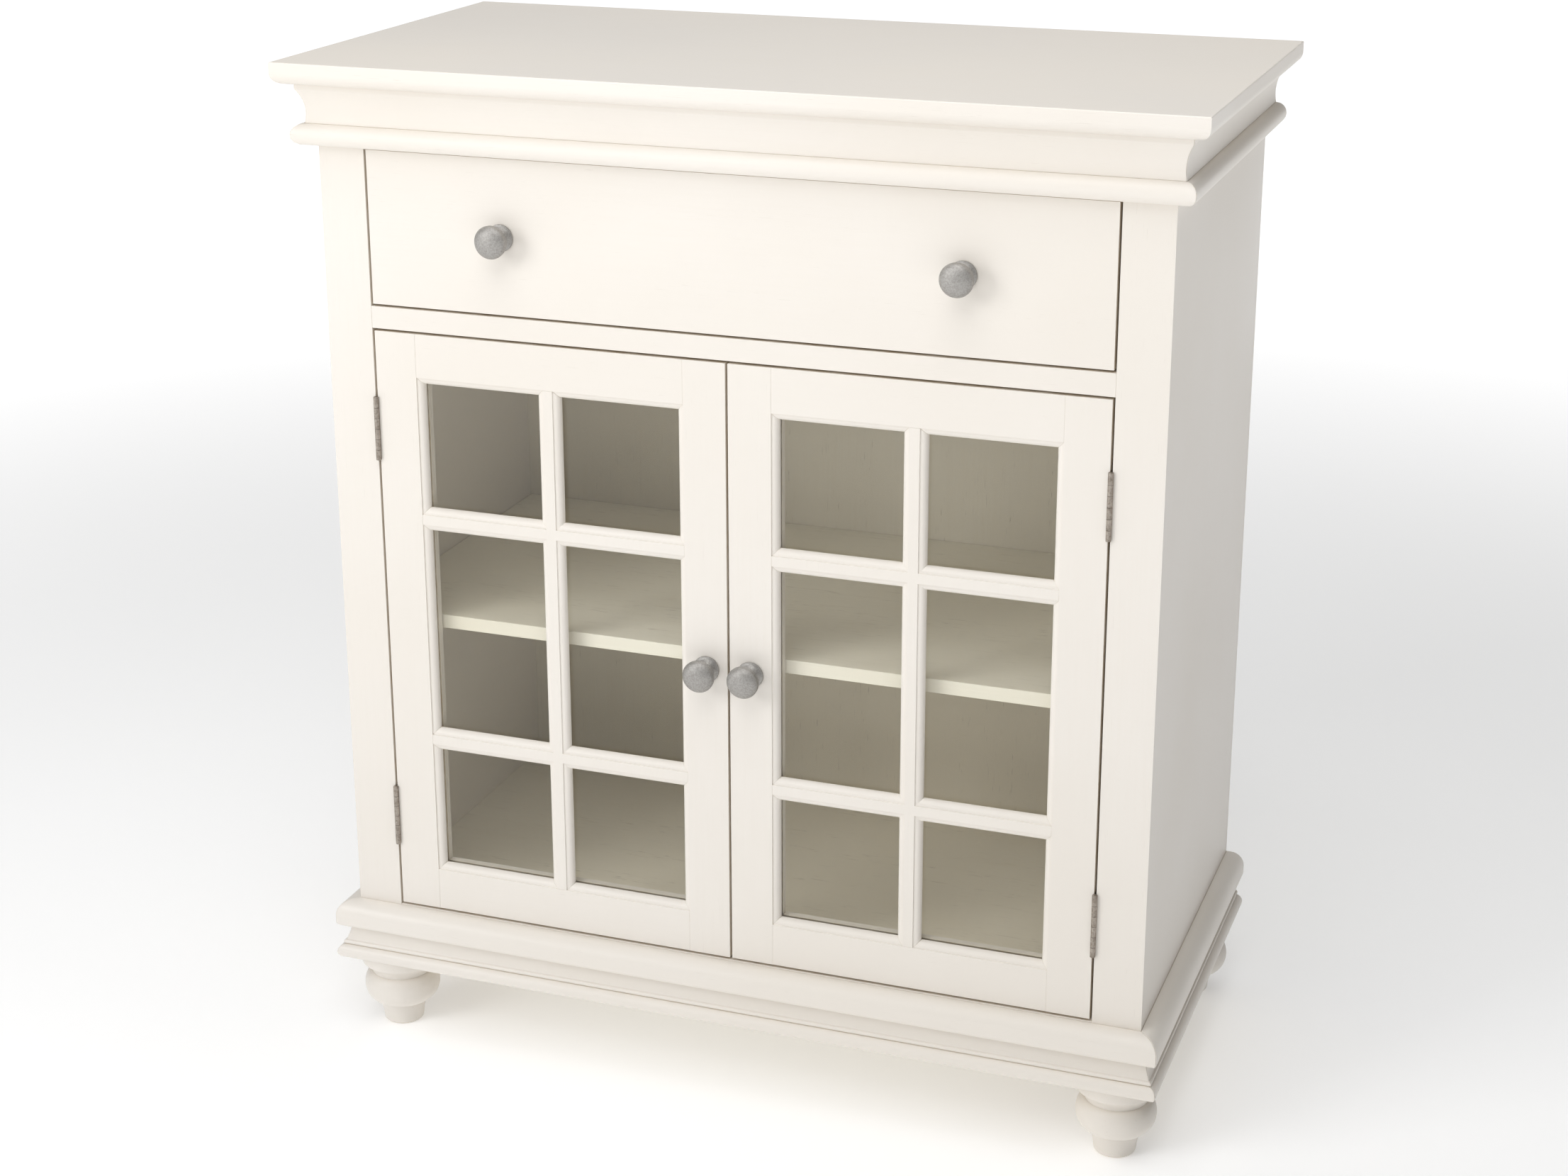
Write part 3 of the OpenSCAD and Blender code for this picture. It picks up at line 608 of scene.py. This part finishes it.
def bow(x: float, y: float, rx: float, ry: float, start: float, end: float, steps: int = 12) -> Profile:
    """Gives points round part of an oval.

    Args:
        x: The radius at its middle.
        y: The height at its middle.
        rx: Its half width.
        ry: Its half height.
        start: The angle that it starts at, in degrees.
        end: The angle that it ends at, in degrees.
        steps: How many steps it has.

    Returns:
        The points, as radius and height.
    """
    angles = (math.radians(start + (end - start) * i / steps) for i in range(steps + 1))
    return [(x + rx * math.cos(a), y + ry * math.sin(a)) for a in angles]


def sweep(start: tuple[float, float], end: tuple[float, float], power: float, steps: int = 10) -> Profile:
    """Gives points of a curve that leaves start along the height and bends to end."""
    shares = (i / steps for i in range(steps + 1))
    return [(start[0] + (end[0] - start[0]) * t**power, start[1] + (end[1] - start[1]) * t) for t in shares]


def in_metres(outline: Profile) -> Profile:
    """Turns an outline in millimetres into metres, without points that repeat."""
    points: Profile = []
    for x, y in outline:
        if not points or math.hypot(x * MM - points[-1][0], y * MM - points[-1][1]) > 2e-5:
            points.append((max(x, 0.05) * MM, y * MM))
    return points


def dress(piece: bpy.types.Object, finish: bpy.types.Material) -> None:
    """Gives a piece, or a CAD node, its finish."""
    if not piece.data.materials:
        piece.data.materials.append(finish)
    for slot in piece.material_slots:
        slot.material = finish


def stand_for(piece: bpy.types.Object, body: str, slot: str, finish: bpy.types.Material, *nodes: str) -> None:
    """Puts a new piece in the place of CAD nodes.

    Args:
        piece: The new piece.
        body: The body that it moves with.
        slot: The record's material slot; not used.
        finish: Its finish.
        *nodes: The CAD nodes that it stands for.
    """
    dress(piece, finish)
    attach(piece, body)
    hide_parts(*nodes)
    LOG.info("%s stands for %s on %s", piece.name, ", ".join(nodes), body)


def keep(node: str, finish: bpy.types.Material) -> None:
    """Gives a CAD node that stays its finish, and reports it."""
    dress(frame["nodes"][node], finish)
    LOG.info("%s keeps its own shape", node)


# ---------------------------------------------------------------------------
# Sub-assemblies
# ---------------------------------------------------------------------------


@dataclass
class Carcass:
    """The case, its face frame and the pieces inside it."""

    finishes: Finishes
    edge: float = 0.5 * MM
    body: str = "cabinet"
    upright: tuple[str, ...] = ("left_side", "right_side", "left_stile", "right_stile")
    across: tuple[str, ...] = ("top_rail", "mid_rail", "bottom_rail")

    def build(self) -> None:
        """Makes the painted boards and dresses what is inside."""
        paint, inside = self.finishes.paint, self.finishes.inside
        for node in self.upright:
            piece = soften(node, f"painted_{node}", self.edge)
            stand_for(piece, self.body, "paint", paint[Grain.UPRIGHT], node)
        for node in self.across:
            piece = soften(node, f"painted_{node}", self.edge)
            stand_for(piece, self.body, "paint", paint[Grain.ACROSS], node)
        keep("back_panel", inside[Grain.UPRIGHT])
        keep("bottom_panel", inside[Grain.ACROSS])
        keep("dust_panel", inside[Grain.ACROSS])
        keep("foot_blocks", self.finishes.bare[Grain.ACROSS])
        keep("foot_bolts", self.finishes.steel)
        keep("drawer_runners", self.finishes.bare[Grain.DEEP])
        keep("door_catches", self.finishes.plastic)


@dataclass
class Mouldings:
    """The top and the mouldings that run round the case."""

    finishes: Finishes
    body: str = "cabinet"
    top_round: float = 10.0 * MM
    top_ease: float = 1.2 * MM
    edges: dict[str, float] = field(
        default_factory=lambda: {
            "cornice_cove": 0.5 * MM,
            "cornice_bead": 0.4 * MM,
            "base_nosing": 0.6 * MM,
            "base_flare": 0.4 * MM,
            "base_bead": 0.4 * MM,
        }
    )

    def build(self) -> None:
        """Makes the top, and each moulding with its arrises eased."""
        paint = self.finishes.paint[Grain.ACROSS]
        stand_for(self.build_top(), self.body, "paint", paint, "top")
        for node, edge in self.edges.items():
            stand_for(soften(node, f"painted_{node}", edge), self.body, "paint", paint, node)

    def build_top(self) -> bpy.types.Object:
        """Makes the top in rings from its underside up, flat at the back and moulded round the rest.

        Returns:
            The new top.
        """
        low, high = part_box("top")
        tall = high.z - low.z
        quarter = [(math.radians(90 * i / 10)) for i in range(11)]
        rings = [(self.top_round * (1 - math.sin(a)), self.top_round * (1 - math.cos(a))) for a in quarter]
        rings += [
            (self.top_ease * (1 - math.cos(a)), tall - self.top_ease * (1 - math.sin(a)))
            for a in quarter[::2]
        ]
        inset, height = rings[0]
        bpy.ops.object.select_all(action="DESELECT")
        bpy.ops.mesh.primitive_plane_add(size=1.0, location=(0, (low.y + inset + high.y) / 2, low.z))
        piece = bpy.context.object
        piece.name = "painted_top"
        piece.data.name = "painted_top"
        piece.scale = (high.x - low.x - 2 * inset, high.y - low.y - inset, 1.0)
        bpy.ops.object.transform_apply(location=True, rotation=True, scale=True)
        bpy.ops.object.mode_set(mode="EDIT")
        bpy.ops.mesh.select_all(action="SELECT")
        for next_inset, next_height in rings[1:]:
            wide, deep = high.x - low.x - 2 * inset, high.y - low.y - inset
            bpy.ops.mesh.extrude_region_move(TRANSFORM_OT_translate={"value": (0, 0, next_height - height)})
            bpy.ops.transform.resize(
                value=(1 + 2 * (inset - next_inset) / wide, 1 + (inset - next_inset) / deep, 1),
                center_override=(0, high.y, low.z + next_height),
            )
            inset, height = next_inset, next_height
        bpy.ops.mesh.select_all(action="SELECT")
        bpy.ops.mesh.normals_make_consistent(inside=False)
        bpy.ops.object.mode_set(mode="OBJECT")
        bpy.ops.object.shade_smooth_by_angle(angle=math.radians(30))
        bpy.ops.object.modifier_add(type="WEIGHTED_NORMAL")
        piece.modifiers[-1].keep_sharp = True
        bpy.ops.object.modifier_apply(modifier=piece.modifiers[-1].name)
        return piece


@dataclass
class Foot:
    """One turned foot: rounded toe, taper, bulb, hollow and disc."""

    toe_r: float = 19.0
    toe_round: float = 3.0
    ankle_r: float = 22.5
    ankle_z: float = 22.5
    bulb_r: float = 36.0
    bulb_z: float = 39.0
    neck_r: float = 28.5
    neck_z: float = 53.0
    disc_r: float = 38.0
    disc_z: float = 64.0
    disc_edge: float = 1.8

    def outline(self, height: float) -> Profile:
        """Gives the foot's outline from the floor up.

        Args:
            height: The foot's height in millimetres.

        Returns:
            The outline in metres.
        """
        return in_metres(
            [
                (1.0, 0.0),
                *bow(self.toe_r - self.toe_round, self.toe_round, self.toe_round, self.toe_round, -90, 0, 6),
                *sweep((self.toe_r + 0.1, 4.0), (self.ankle_r - 0.4, self.ankle_z - 0.2), 1.15, 6),
                *bow(
                    self.ankle_r, self.bulb_z, self.bulb_r - self.ankle_r, self.bulb_z - self.ankle_z, -80, 0
                ),
                *bow(self.neck_r, self.bulb_z, self.bulb_r - self.neck_r, self.neck_z - self.bulb_z, 6, 90),
                *sweep((self.neck_r, self.neck_z + 1), (self.disc_r - self.disc_edge, self.disc_z), 2.0, 8),
                *bow(
                    self.disc_r - self.disc_edge, self.disc_z + self.disc_edge,
                    self.disc_edge, self.disc_edge, -70, 0, 5,
                ),
                (self.disc_r, height - 0.6),
                (self.disc_r - 0.6, height),
                (1.0, height),
            ]
        )


@dataclass
class Feet:
    """The four feet."""

    finishes: Finishes
    shape: Foot = field(default_factory=Foot)
    body: str = "cabinet"
    nodes: tuple[str, ...] = ("front_left_foot", "front_right_foot", "back_left_foot", "back_right_foot")

    def build(self) -> None:
        """Turns one foot and copies it to the other three corners."""
        middles = {node: self.middle(node) for node in self.nodes}
        low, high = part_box(self.nodes[0])
        outline = self.shape.outline((high.z - low.z) / MM)
        first = turned("turned_front_left_foot", middles[self.nodes[0]], Vector((0, 0, 1)), outline)
        pieces = {self.nodes[0]: first}
        for node in self.nodes[1:]:
            pieces[node] = copied(first, f"turned_{node}", middles[node] - middles[self.nodes[0]])
        for node, piece in pieces.items():
            stand_for(piece, self.body, "paint", self.finishes.paint[Grain.TURNED], node)

    @staticmethod
    def middle(node: str) -> Vector:
        """Gives the point on the floor under a foot's middle."""
        low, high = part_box(node)
        return Vector(((low.x + high.x) / 2, (low.y + high.y) / 2, low.z))


@dataclass
class Knob:
    """A round cast knob: base, waist, ring, rim and dome."""

    radius: float = 14.5
    reach: float = 27.5
    base_r: float = 12.0
    neck_r: float = 6.2

    def outline(self) -> Profile:
        """Gives the knob's outline from its base out, in metres."""
        ring_z = self.reach - 10.4
        rim_z = self.reach - 7.0
        ring_r = self.radius - 0.2
        return in_metres(
            [
                (1.0, 0.0),
                *bow(self.base_r - 1.0, 1.0, 1.0, 1.0, -90, 40, 6),
                *sweep((self.base_r - 1.2, 1.9), (self.base_r - 2.4, 2.5), 1.0, 3),
                *reversed(sweep((self.neck_r, 9.5), (self.base_r - 2.6, 2.7), 2.4, 10)),
                *sweep((self.neck_r, 10.0), (ring_r - 1.4, ring_z), 2.2, 10),
                *bow(ring_r - 1.2, ring_z + 1.2, 1.2, 1.2, -80, 85, 8),
                (ring_r - 1.3, rim_z - 0.8),
                (self.radius - 0.7, rim_z - 0.6),
                *bow(0.0, rim_z, self.radius, self.reach - rim_z, -2, 88, 18),
            ]
        )

    def build(self, name: str, foot: Vector) -> bpy.types.Object:
        """Turns a knob.

        Args:
            name: The piece's name.
            foot: The middle of its base.

        Returns:
            The knob.
        """
        return turned(name, foot, Vector((0, -1, 0)), self.outline(), 64)


@dataclass
class Drawer:
    """The drawer with its two knobs."""

    finishes: Finishes
    knob: Knob = field(default_factory=Knob)
    edge: float = 0.6 * MM
    body: str = "drawer"

    def build(self) -> None:
        """Makes the front, the knobs and the box."""
        front = soften("drawer_front", "painted_drawer_front", self.edge)
        stand_for(front, self.body, "paint", self.finishes.paint[Grain.ACROSS], "drawer_front")
        self.build_knobs()
        keep("drawer_sides", self.finishes.bare[Grain.DEEP])
        keep("drawer_back", self.finishes.bare[Grain.ACROSS])
        keep("drawer_bottom", self.finishes.bare[Grain.ACROSS])
        keep("drawer_knob_screws", self.finishes.steel)

    def build_knobs(self) -> None:
        """Turns one knob, copies it and joins the two."""
        low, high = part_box("drawer_knobs")
        inset = self.knob.radius * MM
        left = Vector((low.x + inset, high.y, (low.z + high.z) / 2))
        first = self.knob.build("cast_drawer_knobs", left)
        second = copied(first, "second_knob", Vector((high.x - low.x - 2 * inset, 0, 0)))
        only(first)
        second.select_set(True)
        bpy.ops.object.join()
        stand_for(first, self.body, "pewter", self.finishes.pewter, "drawer_knobs")


@dataclass
class Door:
    """One glazed door with its knob and its half of the hinges."""

    finishes: Finishes
    side: Side
    knob: Knob = field(default_factory=Knob)
    edge: float = 0.35 * MM

    @property
    def body(self) -> str:
        """The body that the door's pieces move with."""
        return f"{self.side.value}_door"

    def build(self) -> None:
        """Makes the door."""
        paint = self.finishes.paint
        for part, grain in (
            ("hinge_stile", Grain.UPRIGHT),
            ("meeting_stile", Grain.UPRIGHT),
            ("top_rail", Grain.ACROSS),
            ("bottom_rail", Grain.ACROSS),
            ("bars", Grain.UPRIGHT),
            ("beads", Grain.UPRIGHT),
        ):
            node = f"{self.body}_{part}"
            piece = soften(node, f"painted_{node}", self.edge)
            stand_for(piece, self.body, "paint", paint[grain], node)
        self.build_knob()
        leaves = soften(f"{self.body}_leaves", f"plated_{self.body}_leaves", 0.12 * MM)
        stand_for(leaves, self.body, "nickel", self.finishes.nickel, f"{self.body}_leaves")
        keep(f"{self.body}_glass", self.finishes.glass)
        keep(f"{self.body}_knob_screw", self.finishes.steel)
        keep(f"{self.body}_leaf_screws", self.finishes.steel)
        keep(f"{self.body}_strike", self.finishes.steel)

    def build_knob(self) -> None:
        """Turns the door's knob."""
        node = f"{self.body}_knob"
        low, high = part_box(node)
        foot = Vector(((low.x + high.x) / 2, high.y, (low.z + high.z) / 2))
        piece = self.knob.build(f"cast_{node}", foot)
        stand_for(piece, self.body, "pewter", self.finishes.pewter, node)


@dataclass
class Hinges:
    """The half of the hinges that stays on the face frame, with the pins."""

    finishes: Finishes
    body: str = "cabinet"

    def build(self) -> None:
        """Makes the frame's leaves with eased edges and dresses the rest."""
        leaves = soften("frame_hinge_leaves", "plated_frame_leaves", 0.12 * MM)
        stand_for(leaves, self.body, "nickel", self.finishes.nickel, "frame_hinge_leaves")
        keep("hinge_pins", self.finishes.nickel)
        keep("frame_hinge_screws", self.finishes.steel)


@dataclass
class Shelf:
    """The loose shelf on its four pins."""

    finishes: Finishes
    body: str = "cabinet"

    def build(self) -> None:
        """Makes the shelf with eased edges."""
        board = soften("shelf", "painted_shelf", 0.8 * MM)
        stand_for(board, self.body, "inside_paint", self.finishes.shelf, "shelf")
        keep("shelf_pins", self.finishes.steel)


# ---------------------------------------------------------------------------
# Studio
# ---------------------------------------------------------------------------


@dataclass(frozen=True)
class SoftBox:
    """A large square lamp that points at the cabinet."""

    name: str
    place: tuple[float, float, float]
    aim: tuple[float, float, float]
    size: float
    watts: float
    colour: Colour = (1.0, 1.0, 1.0)

    def build(self) -> None:
        """Hangs the lamp."""
        bpy.ops.object.select_all(action="DESELECT")
        bpy.ops.object.light_add(type="AREA", location=self.place)
        lamp = bpy.context.object
        lamp.name = self.name
        lamp.data.shape = "SQUARE"
        lamp.data.size = self.size
        lamp.data.energy = self.watts
        lamp.data.color = self.colour
        lamp.rotation_euler = (Vector(self.aim) - Vector(self.place)).to_track_quat("-Z", "Y").to_euler()


@dataclass
class Studio:
    """A pale floor that glows with painted light, soft light from lamps and sky, and the camera."""

    camera_place: tuple[float, float, float] = (0.788249, -2.203977, 1.284441)
    camera_right: tuple[float, float, float] = (0.93994466, 0.34132267, -0.00164449)
    camera_down: tuple[float, float, float] = (0.10465159, -0.29277178, -0.95043815)
    camera_ahead: tuple[float, float, float] = (-0.32488754, 0.89318668, -0.31091028)
    lens: float = 61.306
    film: float = 36.0
    lift: float = -0.055
    ambient: float = 0.12
    floor_colour: Colour = (0.92, 0.92, 0.92)
    # How strongly the floor glows near the cabinet, as painted light.
    floor_painted_glow: float = 0.27
    lamps: tuple[SoftBox, ...] = (
        SoftBox("key_lamp", (-1.9, -2.6, 1.75), (0.0, 0.0, 0.45), 1.6, 39.0),
        SoftBox("top_lamp", (0.2, 0.2, 3.0), (0.1, 0.0, 0.9), 2.6, 34.0),
        SoftBox("fore_lamp", (0.0, -1.7, 2.9), (0.0, 0.0, 0.5), 2.0, 30.0),
        SoftBox("side_lamp", (2.3, -2.0, 2.2), (0.2, 0.0, 0.6), 1.6, 2.0),
    )

    def build(self) -> None:
        """Sets up the floor, the lamps, the sky and the camera."""
        self.build_floor()
        for lamp in self.lamps:
            lamp.build()
        world = bpy.data.worlds.new("studio_sky")
        bpy.context.scene.world = world
        world.use_nodes = True
        sky = world.node_tree.nodes.get("Background")
        sky.inputs["Color"].default_value = (1.0, 1.0, 1.0, 1.0)
        sky.inputs["Strength"].default_value = self.ambient
        bpy.context.scene.view_settings.view_transform = "Standard"
        self.build_camera()

    def build_floor(self) -> None:
        """Lays the floor, which glows with painted light, weakly near the cabinet."""
        bpy.ops.object.select_all(action="DESELECT")
        bpy.ops.mesh.primitive_plane_add(size=60.0, location=(0, 0, 0))
        floor = bpy.context.object
        floor.name = "studio_floor"
        g = Graph("pale_floor")
        cloud = g.noise(g.place(), 1.5, 2.0)
        shaded = tuple(c * 0.985 for c in self.floor_colour)
        tone = g.blend(g.span(cloud, 0.3, 0.7, 0.0, 0.5), self.floor_colour, shaded)
        # Painted light: the floor glows so that it reads white. The glow is weak within 1 m of the middle and
        # full from 4 m out.
        away = g.add("ShaderNodeVectorMath", {0: g.place()}, operation="LENGTH").outputs["Value"]
        painted_glow = g.span(away, 1.0, 4.0, self.floor_painted_glow, 1.0)
        floor.data.materials.append(
            g.finish(
                g.add(
                    "ShaderNodeBsdfPrincipled",
                    {
                        "Base Color": tone,
                        "Roughness": 0.9,
                        "Emission Color": (1.0, 1.0, 1.0, 1.0),
                        "Emission Strength": painted_glow,
                    },
                )
            )
        )

    def build_camera(self) -> None:
        """Stands the camera and makes it the scene's own."""
        bpy.ops.object.select_all(action="DESELECT")
        bpy.ops.object.camera_add()
        camera = bpy.context.object
        camera.name = "studio_camera"
        right, down, ahead = (Vector(v) for v in (self.camera_right, self.camera_down, self.camera_ahead))
        turn = Matrix((right, -down, -ahead)).transposed().to_4x4()
        camera.matrix_world = Matrix.Translation(self.camera_place) @ turn
        camera.data.lens = self.lens
        camera.data.sensor_width = self.film
        camera.data.sensor_fit = "HORIZONTAL"
        camera.data.shift_y = self.lift
        camera.data.clip_end = 100.0
        bpy.context.scene.camera = camera


def main() -> None:
    """Builds the cabinet's pieces in order, then the studio."""
    logging.basicConfig(level=logging.INFO, format="%(message)s")
    finishes = Finishes()
    for part in (
        Carcass(finishes),
        Mouldings(finishes),
        Feet(finishes),
        Drawer(finishes),
        Door(finishes, Side.LEFT),
        Door(finishes, Side.RIGHT),
        Hinges(finishes),
        Shelf(finishes),
        Studio(),
    ):
        part.build()
        LOG.info("%s done", type(part).__name__)


if __name__ == "__main__":
    main()
